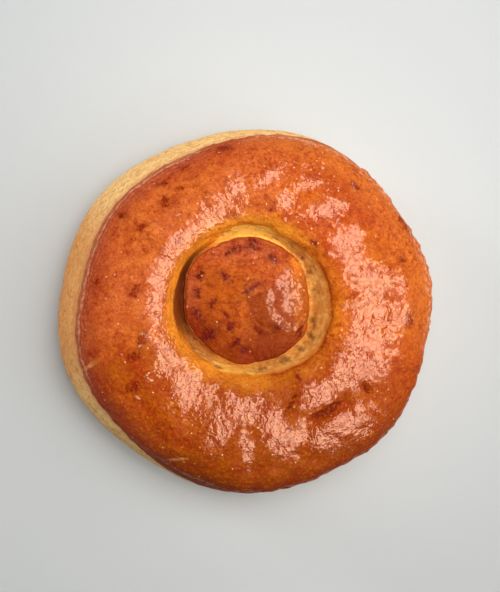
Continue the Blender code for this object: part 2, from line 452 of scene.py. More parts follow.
# painted shade: the button's lower side is painted darker
BUTTON_PAINTED_SHADE = ((277, 0.0160, -6, 0.0300, 0.0090), (215, 0.0150, -50, 0.0160, 0.0080))
# painted light: the button's right rim, which faces the light, is painted lighter and warmer
LIT_BUTTON_RIM = ((2, 0.0166, -88, 0.0280, 0.0066),)
# painted sheen: the button's top and left are painted pinker
BUTTON_PAINTED_SHEEN = ((95, 0.0140, 5, 0.0260, 0.0080), (178, 0.0155, 88, 0.0200, 0.0050))
# painted highlight colour: the button is painted pinker under its highlight
BUTTON_UNDER_HIGHLIGHT = ((2, 0.0112, 90, 0.0120, 0.0080),)
BROWNER_RING = (
    (60, 0.0410, -32, 0.0300, 0.0120),
    (212, 0.0350, -50, 0.0180, 0.0048),
    (228, 0.0400, -40, 0.0100, 0.0040),
    (245, 0.0420, -20, 0.0100, 0.0034),
)

# The marks, by the names of the fields that the material reads
MARKS = {
    "pool": POOLS,
    "scorch": SCORCHES,
    "glint": GLINTS,
    "pit": PITS,
    "crack": CRACKS,
    "crease": CREASES,
    "shade": BUTTON_PAINTED_SHADE,
    "painted_rim_light": LIT_BUTTON_RIM,
    "painted_button_sheen": BUTTON_PAINTED_SHEEN,
    "painted_highlight_tint": BUTTON_UNDER_HIGHLIGHT,
    "browner": BROWNER_RING,
}

# Where round the roll a look holds, in degrees from +X: it comes in between the first two
# directions and goes out between the last two. A zone that ends at a smaller direction than it
# starts from runs on through 0.
ZONES = {
    "pale_lip": (95, 115, 200, 215),  # the glaze's edge is thin and pale, with a painted highlight along it
    "painted_edge_line": (222, 250, 75, 98),  # a fine painted highlight runs along it
    "painted_rim_gleam": (335, 355, 75, 98),  # a painted gleam of the sky lies in it, and a band inside it is painted lighter
    "rim_line": (262, 300, 15, 40),  # the glaze is dark along the groove
    "lit_slope": (15, 75, 280, 292),  # the ring's inner slope faces the light
    "upper_left": (95, 125, 150, 185),  # that slope is wider
    "broken": (32, 44, 92, 106),  # the pools of wash are broken up
    "gap_side": (112, 158, 192, 236),  # the groove is narrow, and painted dark with a painted shadow
    "painted_groove_light": (35, 70, 108, 128),  # its dough is painted paler, as painted light
    "tan_flank": (140, 165, 195, 215),  # the bare flank is tan
}
RING_ZONES = {  # on the ring alone
    # a deeper amber on the ring's lower side: its colour, and partly painted shade
    "amber": (200, 206, 300, 345),
    # painted sheen on the ring's top and left
    "rosy": (60, 85, 190, 215),
    # painted shade on the ring's lower side
    "painted_shade_foot": (235, 262, 318, 345),
}
COVERED_FLANK = (214, 262, 40, 96)  # the wash runs down over the flank
SMOOTHER_EDGE = (262, 285, 318, 338)  # the glaze's edge is less ragged
# the groove's painted light, weaker, on its lower side too
SECOND_PAINTED_GROOVE_LIGHT = (235, 255, 272, 290)
SECOND_PAINTED_LIGHT_SHARE = 0.6
DIMMER_SLOPE = (190, 225)  # between these the lit slope's painted light is weaker
SLOPE_DIMMING = 0.36


def ring_stations():
    """Stations along the mean section: close on the top, wider on the flank, few underneath."""
    fine = np.linspace(0, UNDERSIDE, SECTION_SAMPLES)
    path = along(np.repeat(section(np.zeros(1)), len(fine), axis=2), fine)
    step = np.hypot(*np.diff(path, axis=0).T)
    step[fine[1:] > GLAZE_EDGE + 1] /= FLANK_COARSENESS
    reached = np.concatenate([[0], np.cumsum(step)])
    shown = np.interp(np.linspace(0, reached[-1], RINGS - UNDERSIDE_RINGS), reached, fine)
    hidden = np.linspace(UNDERSIDE, len(section(np.zeros(1))) - 1, UNDERSIDE_RINGS + 1)[1:]
    return np.concatenate([shown, hidden])


def grid_faces():
    """Quads between neighbouring rings, and a fan of triangles at each pole."""
    ring = 1 + TURNS * np.arange(RINGS - 2)[:, None]
    here = np.arange(TURNS)
    after = (here + 1) % TURNS
    quads = np.stack(
        [ring[:-1] + here, ring[1:] + here, ring[1:] + after, ring[:-1] + after], axis=-1
    ).reshape(-1, 4)
    last = 1 + TURNS * (RINGS - 2)
    top = np.stack([0 * here, 1 + here, 1 + after], axis=-1)
    under = np.stack([0 * here + last, last - TURNS + after, last - TURNS + here], axis=-1)
    return quads.tolist() + top.tolist() + under.tolist()


def normals(grid):
    """Outward directions on a (rings, turns, 3) grid of points."""
    down = np.gradient(grid, axis=0)
    around = np.roll(grid, -1, axis=1) - np.roll(grid, 1, axis=1)
    out = np.cross(down, around)
    length = np.linalg.norm(out, axis=2, keepdims=True)
    out /= np.maximum(length, 1e-12)
    out[0] = out[1].mean(axis=0)
    out[-1] = (0, 0, -1)
    return out


def smooth(low, high, value):
    """From 0 at low to 1 at high, eased at both ends."""
    t = np.clip((value - low) / (high - low), 0, 1)
    return t * t * (3 - 2 * t)


def zone(turned, start, full, fade, end):
    """1 from one direction round to another and 0 elsewhere, for directions in degrees."""
    coming, going = smooth(start, full, turned), smooth(end, fade, turned)
    return coming * going if start < end else np.maximum(coming, going)


def fractal(points, spacing, octaves, squeeze=(1, 1, 1)):
    """Rough noise at each point, about from -1 to 1, with its largest grains this far apart."""
    scaled = points / spacing * np.array(squeeze)
    return np.array([noise.fractal(Vector(p), 1.0, 2.0, octaves) for p in scaled])


def marks(x, y, places):
    """1 in the middle of a mark, 0.5 on its rim and 0 well outside, seen from above."""
    nearest = np.zeros_like(x)
    for toward, out, heading, length, width in places:
        run, across = from_mark(x, y, toward, out, heading)
        nearest = np.maximum(nearest, 0.5 ** ((2 * run / length) ** 2 + (2 * across / width) ** 2))
    return nearest


class Skin:
    """The fine grid of the even form, with what its relief and its material need at each point."""

    def __init__(self):
        station = ring_stations()
        turn = np.arange(TURNS) * math.tau / TURNS
        turns = np.tile(turn, RINGS)
        points = form(np.repeat(station, TURNS), turns)
        self.grid = points.reshape(RINGS, TURNS, 3)
        self.normal = normals(self.grid)
        self.bare = bare_share(turns).reshape(RINGS, TURNS)
        self.turned = np.degrees(turns).reshape(RINGS, TURNS)  # from +X
        x, y = self.grid[..., 0], self.grid[..., 1]
        self.out = np.hypot(x, y)
        self.marks = {name: marks(x, y, places) for name, places in MARKS.items()}

        steps = np.linalg.norm(np.diff(self.grid, axis=0), axis=2)
        run = np.concatenate([np.zeros((1, TURNS)), np.cumsum(steps, axis=0)])

        def beyond(goal):
            """How far beyond a station of the section each point is, in millimetres of skin."""
            at = np.array([np.interp(goal, station, run[:, j]) for j in range(TURNS)])
            return 1000 * (run - at)

        self.past_button = beyond(BUTTON_EDGE)
        self.past_groove = beyond(RING_SKIN)
        self.past_glaze = beyond(GLAZE_EDGE)
        on_ring = smooth(-BORDER, BORDER, self.past_groove)
        on_ring = on_ring * smooth(BORDER, -BORDER, self.past_glaze)
        self.glazed = np.maximum(on_ring, smooth(BORDER, -BORDER, self.past_button))

    def displace(self, relief):
        """Moves each point along its normal by relief, in metres."""
        self.grid = self.grid + self.normal * relief[..., None]
        self.grid[0] = self.grid[0].mean(axis=0)
        self.grid[-1] = self.grid[-1].mean(axis=0)


def blister_relief(skin):
    """Small domes scattered over the glaze."""
    draw = random.Random(SEED)
    flat = skin.grid.reshape(-1, 3)
    fully_glazed = skin.glazed.ravel() > 0.95
    open_skin = np.flatnonzero(fully_glazed & (flat[:, 2] > BLISTER_FLOOR))
    relief = np.zeros(len(flat))
    made = 0
    while made < BLISTERS:
        pick = open_skin[int(draw.random() * len(open_skin))]
        if draw.random() > MIDDLE_CHANCE + skin.out.ravel()[pick] / ROLL_RADIUS:
            continue
        made += 1
        least, most = BLISTER_RADIUS
        radius = least + (most - least) * draw.random() ** 2
        least, most = BLISTER_HEIGHT
        height = least + (most - least) * draw.random()
        gap = np.linalg.norm(flat - flat[pick], axis=1) / radius
        relief += height * np.exp(-(gap**2) * BLISTER_STEEPNESS)
    return relief.reshape(skin.out.shape)


def relief(skin):
    """All the small relief, in metres along the normal."""
    flat = skin.grid.reshape(-1, 3)

    def rough(kind, shift=0.0):
        return fractal(flat + shift, *kind).reshape(skin.out.shape)

    swell, dent, pucker, fibre = rough(SWELL), rough(DENT, 0.5), rough(PUCKER, 0.9), rough(FIBRE)
    inside = smooth(0, -DRAWN_SMOOTH, skin.past_glaze)
    swell_height = EDGE_SWELL_HEIGHT + INNER_SWELL_HEIGHT * inside
    on_glaze = swell_height * swell + DENT_HEIGHT * dent + PUCKER_HEIGHT * pucker
    on_dough = FIBRE_HEIGHT * fibre + DOUGH_PUCKER_HEIGHT * pucker + DOUGH_DENT_HEIGHT * dent
    over_flank, in_front = BURR_LOSS
    lost = np.maximum(over_flank * skin.bare, in_front * zone(skin.turned, *SMOOTHER_EDGE))
    burr = np.exp(-((skin.past_glaze / BURR_WIDTH) ** 2)) * (1 - lost)

    total = skin.glazed * on_glaze
    total += (1 - skin.glazed) * on_dough
    total += BURR_HEIGHT * burr * np.clip(rough(BURR, 2.0), -BURR_DEPTH, 1)
    total += blister_relief(skin) + GLINT_HEIGHT * skin.marks["glint"]
    total -= (
        PIT_DEPTH * skin.marks["pit"]
        + CRACK_DEPTH * skin.marks["crack"]
        + CREASE_DEPTH * skin.marks["crease"]
    )
    return total * smooth(*OFF_TABLE, skin.grid[..., 2])


def material_fields(skin):
    """What the crust's material reads at each point. Distances past a border are in millimetres."""
    turned = skin.turned
    fields = {
        "past_button": skin.past_button,
        "past_groove": skin.past_groove,
        "past_glaze": skin.past_glaze,
        "bare_side": skin.bare,
        "facing_up": skin.normal[..., 2],
        "uncovered": skin.past_glaze - WASH_BELOW_EDGE * zone(turned, *COVERED_FLANK),
    }
    fields.update(skin.marks)
    fields.update({name: zone(turned, *reach) for name, reach in ZONES.items()})
    fields["lit_slope"] *= 1 - SLOPE_DIMMING * smooth(*DIMMER_SLOPE, turned)
    second = SECOND_PAINTED_LIGHT_SHARE * zone(turned, *SECOND_PAINTED_GROOVE_LIGHT)
    fields["painted_groove_light"] = np.maximum(fields["painted_groove_light"], second)
    on_ring = smooth(-1, 2, skin.past_groove)
    fields.update({name: on_ring * zone(turned, *reach) for name, reach in RING_ZONES.items()})
    return fields


def roll_mesh():
    """The fine skin as a mesh, set in the middle of the CAD roll's box, with its fields."""
    skin = Skin()
    fields = material_fields(skin)
    skin.displace(relief(skin))
    low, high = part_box("roll")
    flat = skin.grid.reshape(-1, 3)
    middle = (flat.min(axis=0) + flat.max(axis=0)) / 2
    flat = flat + np.array([(low.x + high.x) / 2 - middle[0], (low.y + high.y) / 2 - middle[1], 0])
    keep = np.concatenate([[0], np.arange(TURNS, TURNS * (RINGS - 1) + 1)])
    mesh = bpy.data.meshes.new("roll_skin")
    mesh.from_pydata(flat[keep].tolist(), [], grid_faces())
    for name, field in fields.items():
        kept = mesh.attributes.new(name, "FLOAT", "POINT")
        kept.data.foreach_set("value", field.ravel()[keep].astype(np.float32))
    mesh.shade_smooth()
    return mesh


# -----------------------------------------------------------------------------
# Materials
# -----------------------------------------------------------------------------

# The noises of the crust: (size of a grain, detail, roughness, distortion), and for a streaky one
# how far it is squeezed
NOISES = {
    "ragged": (0.0035, 4.0, 0.6, 0.3),  # borders wander with it
    "crumbly": (0.0012, 3.0, 0.6, 0.3),  # and with it, finely
    "drift": (0.016, 2.0, 0.5, 0.0),  # broad changes of the glaze's colour
    "mottle": (0.0050, 7.0, 0.72, 0.3),
    "gleam": (0.0014, 3.0, 0.6, 0.3),  # breaks up the painted gleams on the rim
    "streak": (0.0024, 4.0, 0.65, 0.5, (0.5, 1.3, 1.0)),  # dark ones on the button
    "cluster": (0.0085, 2.0, 0.5, 0.0),  # where flecks gather
    "fleck": (0.0015, 4.0, 0.65, 0.3),
    "speckle": (0.0008, 2.0, 0.6, 0.0),
    "crinkle": (0.0026, 1.5, 0.5, 0.8),  # wrinkles of the glaze, where it is near its mean
    "fold": (0.0014, 1.0, 0.5, 1.0),  # finer ones
    "worm": (0.0021, 1.0, 0.5, 0.0),  # where the finer ones show
    "groove": (0.0030, 4.0, 0.6, 0.3),  # tan patches in the groove's dough
    "murk": (0.0034, 4.0, 0.6, 0.4),  # grey ones
    "crumb": (0.0009, 3.0, 0.6, 0.4),
    "fibre": (0.0011, 4.0, 0.7, 0.6, (0.45, 0.45, 1.1)),  # streaks on the flank
    "spot": (0.0019, 2.0, 0.5, 0.0),
    "wrinkle": (0.0022, 1.5, 0.4, 0.6),
    "dimple": (0.0010, 1.0, 0.4, 0.0),
    "fine": (0.0007, 0.0, 0.5, 0.0),
    "curl": (0.0032, 1.0, 0.4, 0.8),  # ridges on the button
    "vein": (0.0056, 3.0, 0.6, 0.8),  # gaps in the pools of wash
    "coil": (0.0030, 1.0, 0.5, 0.8),  # gaps in the button's
}
BUBBLE_SPACING = 0.0021

# How far the finest relief stands out, in metres for a whole step of its pattern
WRINKLE_RISE = 0.00030
DIMPLE_RISE = 0.00008
FINE_RISE = 0.00004
BUBBLE_RISE = 0.00014
CRINKLE_RISE = 0.00004
FOLD_RISE = 0.00012
CRUMB_RISE = 0.00010
CURL_RISE = 0.00050
BURST_RISE = 0.00018

# A burst blister on the left of the ring: the middle, radius and half width of the wall it left
BURST = (-0.0254, -0.0002, 0.0421)
BURST_RADIUS = 0.0007
BURST_WALL = 0.0004

DOUGH_ROUGHNESS = 0.9
GLAZE_ROUGHNESS = 0.55
WASH_ROUGHNESS = 0.09
CRUST_SPECULAR = 0.02
TABLE_SPECULAR = 0.1
TABLE_ROUGHNESS = 0.7
TABLE_COLOUR = (0.538, 0.562, 0.563, 1)


def srgb(red, green, blue):
    """A display colour, from 0 to 255, as the linear colour that a shader takes."""
    parts = [c / 255 for c in (red, green, blue)]
    return (*[c / 12.92 if c <= 0.04045 else ((c + 0.055) / 1.055) ** 2.4 for c in parts], 1)


# Colours of the glaze and its marks, the button, the groove's dough and the flank's, with painted
# light, shade, sheen and highlights among them
GLAZE = srgb(193, 85, 21)
GLAZE_LIGHT = srgb(216, 117, 21)
GLAZE_RED = srgb(163, 55, 13)
GLAZE_AMBER_AND_SHADE = srgb(170, 84, 0)
EDGE_BROWN_AND_SHADE = srgb(112, 33, 6)
GLAZE_PAINTED_SHEEN = srgb(210, 112, 59)
SLOPE_PAINTED_LIGHT = srgb(255, 162, 46)
GLAZE_ROSE_AND_SHEEN = srgb(168, 68, 41)
GLAZE_LIP_AND_GLEAM = srgb(217, 155, 121)
GLAZE_THIN = srgb(186, 114, 70)
GLAZE_PAINTED_LIGHT = srgb(228, 128, 53)
RIM_PAINTED_GLEAM = srgb(231, 161, 126)
SCORCH = srgb(112, 18, 2)
BUTTON_SCORCH = srgb(84, 16, 20)
CREASE_BROWN_AND_SHADE = srgb(104, 29, 6)
FLECK_AND_SHADE = srgb(145, 37, 15)
PAINTED_GLINT = srgb(231, 159, 108)
BUTTON_BROWN = srgb(182, 88, 20)
BUTTON_SHEEN_ROSE = srgb(202, 104, 62)
BUTTON_HIGHLIGHT_PINK = srgb(206, 96, 66)
BUTTON_PAINTED_LIGHT = srgb(248, 140, 46)
GAP_BROWN_AND_SHADOW = srgb(116, 34, 20)
GROOVE_DOUGH = srgb(231, 173, 90)
GROOVE_PAINTED_LIGHT = srgb(255, 204, 94)
GROOVE_CUT = srgb(230, 160, 82)
GROOVE_TAN = srgb(211, 136, 61)
GROOVE_ORANGE = srgb(200, 108, 35)
GROOVE_GREY = srgb(86, 63, 32)
FLANK_DOUGH = srgb(252, 208, 138)
FLANK_BROWN = srgb(207, 121, 58)
FLANK_TAN = srgb(216, 124, 56)
FLANK_PALE = srgb(255, 216, 150)
FLANK_ROSE = srgb(222, 140, 92)


class Tree:
    """A node tree, with a call for each kind of node that the looks need.

    Every call returns a socket, and takes sockets, numbers or the names of the mesh's fields.
    """

    def __init__(self, owner):
        owner.use_nodes = True
        self.tree = owner.node_tree

    def add(self, kind, inputs, output=0, **settings):
        node = self.tree.nodes.new(kind)
        for name, value in settings.items():
            setattr(node, name, value)
        for name, value in inputs.items():
            self.give(node.inputs[name], value)
        return node.outputs[output]

    def give(self, socket, value):
        """Sets a socket, or links it."""
        if isinstance(value, str):
            value = self.add("ShaderNodeAttribute", {}, "Fac", attribute_name=value)
        if isinstance(value, bpy.types.NodeSocket):
            self.tree.links.new(value, socket)
        else:
            socket.default_value = value

    def calc(self, operation, *values):
        return self.add("ShaderNodeMath", dict(enumerate(values)), operation=operation)

    def product(self, *values):
        total = values[0]
        for value in values[1:]:
            total = self.calc("MULTIPLY", total, value)
        return total

    def spread(self, value, share, noise):
        """A value with a share of a noise added."""
        return self.calc("MULTIPLY_ADD", noise, share, value)

    def ease(self, value, low, high, start=0.0, end=1.0):
        """From start at low to end at high, eased."""
        inputs = {"Value": value, "From Min": low, "From Max": high, "To Min": start, "To Max": end}
        return self.add("ShaderNodeMapRange", inputs, interpolation_type="SMOOTHSTEP")

    def where(self, mask, outside, inside):
        """One number where a mask is 0 and another where it is 1."""
        return self.ease(mask, 0, 1, outside, inside)

    def tint(self, below, above, *shares):
        """One colour laid over another, as thick as the product of the shares."""
        inputs = {0: self.product(*shares), 6: below, 7: above}
        return self.add("ShaderNodeMix", inputs, 2, data_type="RGBA")


class Crust(Tree):
    """The crust's node tree. What several parts of the look need is found first and kept here."""

    def __init__(self, owner):
        super().__init__(owner)
        self.place = self.add("ShaderNodeTexCoord", {}, "Object")
        self.ragged = self.uneven("ragged")
        self.crumbly = self.uneven("crumbly")
        self.crumb = self.grain("crumb")
        self.find_glaze()
        self.find_light()
        self.find_wrinkles()
        self.find_bubbles()

    def grain(self, name):
        """One of the noises, from 0 to 1."""
        size, detail, roughness, distortion, *squeeze = NOISES[name]
        place = self.place
        if squeeze:
            place = self.add("ShaderNodeMapping", {"Vector": place, "Scale": squeeze[0]})
        inputs = {"Vector": place, "Scale": 1 / size, "Detail": detail, "Roughness": roughness}
        return self.add("ShaderNodeTexNoise", {**inputs, "Distortion": distortion})

    def uneven(self, name):
        """One of the noises, about zero."""
        return self.calc("SUBTRACT", self.grain(name), 0.5)

    def ridges(self, name):
        """One of the noises as lines, which are 0 where it is at its mean."""
        return self.calc("ABSOLUTE", self.uneven(name))

    def frayed(self, field, ragged=0, crumbly=0):
        """A field whose borders wander by these shares of the coarse and the fine noise."""
        if crumbly:
            field = self.spread(field, crumbly, self.crumbly)
        if ragged:
            field = self.spread(field, ragged, self.ragged)
        return field

    def find_glaze(self):
        """The glaze lies on the button, and on the ring from just inside the groove to its edge."""
        self.button = self.ease(self.frayed("past_button", 0.5), 0.10, -0.10)
        self.off_button = self.calc("SUBTRACT", 1, self.button)
        into_groove = self.ease("bare_side", 0.60, 0.85, 0, 5)
        self.past_rim = self.calc("ADD", "past_groove", into_groove)
        ring = self.product(
            self.ease(self.frayed(self.past_rim, 1.4), -0.30, 0.30),
            self.ease(self.frayed("uncovered", 1.6), 0.25, -0.25),
            self.ease("past_button", 0.1, 0.3),
        )
        crack = self.ease(self.frayed("crack", crumbly=0.8), 0.30, 0.75, 0, 0.6)
        either = self.calc("MAXIMUM", self.button, ring)
        self.glazed = self.product(either, self.calc("SUBTRACT", 1, crack))

    def find_light(self):
        """The ring's inner slope, which faces the light on most sides and is painted lighter there.
        """
        width = self.where("upper_left", 7, 9)
        slope = self.ease(self.frayed("past_groove", 3), width, 2)
        self.lit = self.product(slope, self.off_button, self.where("lit_slope", 0.25, 1))
        self.unlit = self.calc("SUBTRACT", 1, self.lit)

    def find_wrinkles(self):
        """Ridges in the glaze, coarse and fine, and the dark lines that follow them."""
        self.crinkle = self.ease(self.ridges("crinkle"), 0, 0.10)
        self.fold = self.ridges("fold")
        shown = self.ease(self.grain("worm"), 0.42, 0.54)
        fine = self.product(self.ease(self.fold, 0.045, 0), shown)
        self.wrinkled = self.calc("MAXIMUM", fine, self.ease(self.crinkle, 0.4, 0, 0, 0.6))

    def find_bubbles(self):
        """Small bubbles in the wash: a few in every patch, and the ones placed singly, with painted
        highlights on them.
        """
        inputs = {"Vector": self.place, "Scale": 1 / BUBBLE_SPACING}
        off_bubble = self.add("ShaderNodeTexVoronoi", inputs)
        chosen = self.ease(off_bubble.node.outputs["Color"], 0.58, 0.64)
        placed = self.ease(self.frayed("glint", 1, 1.6), 0.55, 0.85)
        bubble = self.product(self.ease(off_bubble, 0.22, 0.02), chosen, self.glazed)
        self.bubble = self.calc("MAXIMUM", bubble, placed)
        # painted highlight: the middle of each chosen bubble is painted pale
        core = self.product(self.ease(off_bubble, 0.17, 0.07), chosen, self.glazed)
        self.glint = self.calc("MAXIMUM", core, self.product(placed, 0.6))

    def ring_glaze(self):
        """The glaze's colour at large: broad drifts, mottles, red where the wash lies thick, and
        painted light, sheen and shade.
        """
        drift = self.ease(self.grain("drift"), 0.40, 0.62)
        glaze = self.tint(GLAZE, GLAZE_LIGHT, drift, self.where("painted_edge_line", 0.65, 0.45))
        # the ring's lower side is a deeper amber: its colour, and partly painted shade
        glaze = self.tint(glaze, GLAZE_AMBER_AND_SHADE, "amber", 0.85)
        # painted light: the inner slope is painted a brighter yellow-orange where it faces the
        # light
        glaze = self.tint(glaze, SLOPE_PAINTED_LIGHT, self.lit)
        # painted sheen: the ring's top and left are painted paler and pinker, as the sky's
        # reflection
        glaze = self.tint(glaze, GLAZE_PAINTED_SHEEN, "rosy", self.unlit, 0.5)
        mottle = self.ease(self.grain("mottle"), 0.42, 0.66)
        less = self.product(self.button, 0.2)
        mottled = self.calc("SUBTRACT", self.where(self.unlit, 0.3, 0.65), less)
        glaze = self.tint(glaze, GLAZE_RED, mottle, mottled)
        glaze = self.tint(glaze, GLAZE_RED, "browner", self.off_button, 0.68)
        under_pool = self.ease("pool", 0.2, 0.7)
        return self.tint(glaze, GLAZE_RED, under_pool, self.off_button, self.unlit, 0.35)

    def with_edge(self, glaze):
        """The glaze darker on its way down to its edge, with painted shade on the lower side, and
        painted light, sheen and gleams near the rims.
        """
        to_edge = self.frayed("past_glaze", 5)
        up_the_side = self.ease("past_glaze", 6, 1.5, 0.30, 1)
        # painted shade: the lower side of the ring is painted darker
        glaze = self.tint(glaze, EDGE_BROWN_AND_SHADE, "painted_shade_foot", 0.32)
        # painted shade: on the lower side the glaze is painted darker towards its edge
        lower = self.ease(to_edge, -11, 1)
        glaze = self.tint(glaze, EDGE_BROWN_AND_SHADE, lower, "amber", up_the_side, 0.9)
        # painted light: a band inside the right rim is painted lighter where the cap turns from the
        # light
        glaze = self.tint(glaze, GLAZE_PAINTED_LIGHT, self.ease(to_edge, -16, -7), "painted_rim_gleam", 0.5)
        # the glaze is darker along its edge, less so under the painted gleam
        last = self.ease(to_edge, -2, 0.5)
        off_painted_gleam = self.where("painted_rim_gleam", 0.6, 0.15)
        glaze = self.tint(glaze, EDGE_BROWN_AND_SHADE, last, off_painted_gleam, up_the_side)
        # on the bare side a darker pink band before the edge: its colour, and partly a painted
        # sheen
        on_bare_side = self.ease("bare_side", 0.35, 0.75)
        glaze = self.tint(glaze, GLAZE_ROSE_AND_SHEEN, self.ease(to_edge, -13, -3), on_bare_side, 0.8)

        # painted reflection: a pink gleam of the sky near the rim, and a fine painted highlight
        # along the edge
        above_foot = self.ease("past_glaze", 2.5, -1.5)
        gleam = self.uneven("gleam")
        sky = self.product(self.ease(to_edge, -5, -3), self.ease(gleam, -0.06, 0.10))
        glaze = self.tint(glaze, RIM_PAINTED_GLEAM, sky, above_foot, "painted_rim_gleam", 0.75)
        line = self.product(self.ease(to_edge, -3, -1), self.ease(gleam, -0.10, 0.06))
        return self.tint(glaze, RIM_PAINTED_GLEAM, line, above_foot, "painted_edge_line", 0.5)

    def with_button(self, glaze):
        """The button's colours over the ring's: its own, and painted shade, light, sheen and
        highlight colour.
        """
        glaze = self.tint(glaze, BUTTON_BROWN, self.button, 0.75)
        # painted sheen on the button's top and left
        glaze = self.tint(glaze, BUTTON_SHEEN_ROSE, self.button, "painted_button_sheen", 0.75)
        # painted highlight colour under the button's highlight
        glaze = self.tint(glaze, BUTTON_HIGHLIGHT_PINK, self.button, "painted_highlight_tint", 0.6)
        # painted light on the button's right rim
        glaze = self.tint(glaze, BUTTON_PAINTED_LIGHT, self.button, self.ease("painted_rim_light", 0.1, 0.6))
        # painted shade on the button's lower side
        glaze = self.tint(glaze, EDGE_BROWN_AND_SHADE, self.button, "shade", 0.8)
        streak = self.ease(self.grain("streak"), 0.52, 0.64)
        share = self.ease("painted_rim_light", 0.3, 0.8, 0.45, 0.1)
        glaze = self.tint(glaze, EDGE_BROWN_AND_SHADE, self.button, streak, share)
        outline = self.ease(self.frayed("past_button", 0.5), -0.9, -0.2)
        share = self.ease("painted_rim_light", 0.3, 0.8, 0.6, 0.15)
        return self.tint(glaze, EDGE_BROWN_AND_SHADE, self.button, outline, share)

    def with_marks(self, glaze):
        """Scorches, flecks, creases with painted shade, the dark line along the groove, specks, and
        wrinkles with painted shade.
        """
        charred = self.tint(SCORCH, BUTTON_SCORCH, self.button)
        glaze = self.tint(glaze, charred, self.ease(self.frayed("scorch", 1.2), 0.05, 0.75), 0.42)
        scorch = self.ease(self.frayed("scorch", 1.6, 2.6), 0.50, 0.95)
        glaze = self.tint(glaze, charred, scorch, self.where(self.button, 0.82, 0.9))

        fleck = self.ease(self.grain("fleck"), 0.48, 0.62)
        cluster = self.ease(self.grain("cluster"), 0.40, 0.58)
        glaze = self.tint(glaze, FLECK_AND_SHADE, fleck, cluster, self.where(self.unlit, 0.3, 1), 0.65)
        # the creases are painted dark brown, partly as painted shade in the fold
        crease = self.ease(self.frayed("crease", crumbly=0.4), 0.28, 0.70)
        glaze = self.tint(glaze, CREASE_BROWN_AND_SHADE, crease)
        rim = self.ease(self.frayed(self.past_rim, 1), 1.6, 0.3)
        glaze = self.tint(glaze, EDGE_BROWN_AND_SHADE, rim, "rim_line", 0.6)

        speckle = self.grain("speckle")
        glaze = self.tint(glaze, FLECK_AND_SHADE, self.ease(speckle, 0.52, 0.66, 0, 0.35))
        pale = self.ease(speckle, 0.46, 0.34, 0, 0.35)
        glaze = self.tint(glaze, GLAZE_LIGHT, pale, self.where(self.button, 1, 0.4))
        # painted shade: the wrinkle lines are painted darker
        return self.tint(glaze, FLECK_AND_SHADE, self.wrinkled, self.where(self.unlit, 0.2, 0.5))

    def with_lip(self, glaze):
        """On the left the glaze thins out at its edge, with fine pale lines that run along it and a
        painted highlight on the lip.
        """
        lines = self.calc("SINE", self.frayed(self.product("past_glaze", 4.2), 14))
        drawn = self.product(self.ease("past_glaze", -7, -3), self.ease(lines, 0.3, 1))
        broken = self.ease(self.crumbly, -0.10, 0.06)
        glaze = self.tint(glaze, GLAZE_LIP_AND_GLEAM, drawn, broken, "pale_lip", 0.4)
        brink = self.frayed("past_glaze", 1.6)
        share = self.ease(self.crumbly, -0.12, 0.12, 0.5, 1)
        glaze = self.tint(glaze, GLAZE_THIN, self.ease(brink, -1.8, -1), "pale_lip", share)
        # painted highlight: a pale line along the lip, where its rounded edge would catch the light
        from_lip = self.calc("ABSOLUTE", self.calc("ADD", brink, 2.4))
        share = self.ease(self.crumbly, -0.10, 0.12, 0.2, 0.7)
        return self.tint(glaze, GLAZE_LIP_AND_GLEAM, self.ease(from_lip, 0.8, 0.3), "pale_lip", share)

    def groove_dough(self):
        """The groove's bare dough: a pale cut edge, a tan floor and an orange slope, with pits, and
        painted light on its top and bottom.
        """
        dough = self.tint(GROOVE_DOUGH, GROOVE_TAN, self.ease(self.uneven("groove"), -0.15, 0.10))
        slope = self.ease(self.frayed("past_groove", 2), -1.8, 0.2)
        dough = self.tint(dough, GROOVE_ORANGE, slope)
        # painted light: the groove's top and bottom are painted paler and yellower
        dough = self.tint(dough, GROOVE_PAINTED_LIGHT, "painted_groove_light")
        cut = self.ease(self.frayed("past_button", 1.2), 1.5, 0.6)
        dough = self.tint(dough, GROOVE_CUT, cut, self.ease("gap_side", 1, 0), 0.6)
        dough = self.tint(dough, GROOVE_GREY, self.ease(self.grain("murk"), 0.52, 0.68), 0.35)
        pit = self.ease(self.frayed("pit", 1.6, 2.4), 0.35, 1.2)
        dough = self.tint(dough, GROOVE_GREY, pit, 0.7)
        return self.tint(dough, GROOVE_ORANGE, self.ease(self.crumb, 0.50, 0.68, 0, 0.35))

    def flank_dough(self):
        """The flank's bare dough: streaked, tan on the left and rosy under the glaze's edge."""
        fibre = self.grain("fibre")
        dough = self.tint(FLANK_DOUGH, FLANK_BROWN, self.ease(fibre, 0.46, 0.68, 0, 0.6))
        dough = self.tint(dough, FLANK_PALE, self.ease(fibre, 0.47, 0.34, 0, 0.7))
        dough = self.tint(dough, FLANK_TAN, "tan_flank", 0.55)
        dough = self.tint(dough, FLANK_BROWN, self.ease(self.crumb, 0.52, 0.66, 0, 0.45))
        spot = self.ease(self.grain("spot"), 0.60, 0.70)
        dough = self.tint(dough, GROOVE_ORANGE, spot, self.ease("past_glaze", 1, 5), 0.6)
        under_edge = self.ease(self.frayed("past_glaze", 4), 5, 0.8, 0, 0.5)
        return self.tint(dough, FLANK_ROSE, under_edge)

    def colour(self):
        """The glaze over the dough, with the painted shadow in the narrow groove and the bubbles'
        painted glints.
        """
        glaze = self.with_lip(self.with_marks(self.with_button(self.with_edge(self.ring_glaze()))))
        on_flank = self.ease("past_glaze", -8, -4)
        dough = self.tint(self.groove_dough(), self.flank_dough(), on_flank)
        dough = self.tint(dough, GROOVE_ORANGE, self.ease(self.crumbly, 0, 0.22, 0, 0.30))
        colour = self.tint(dough, glaze, self.glazed)
        off_button = self.ease("past_button", 0, 0.3)
        off_ring = self.ease("past_groove", 0.3, -1.2)
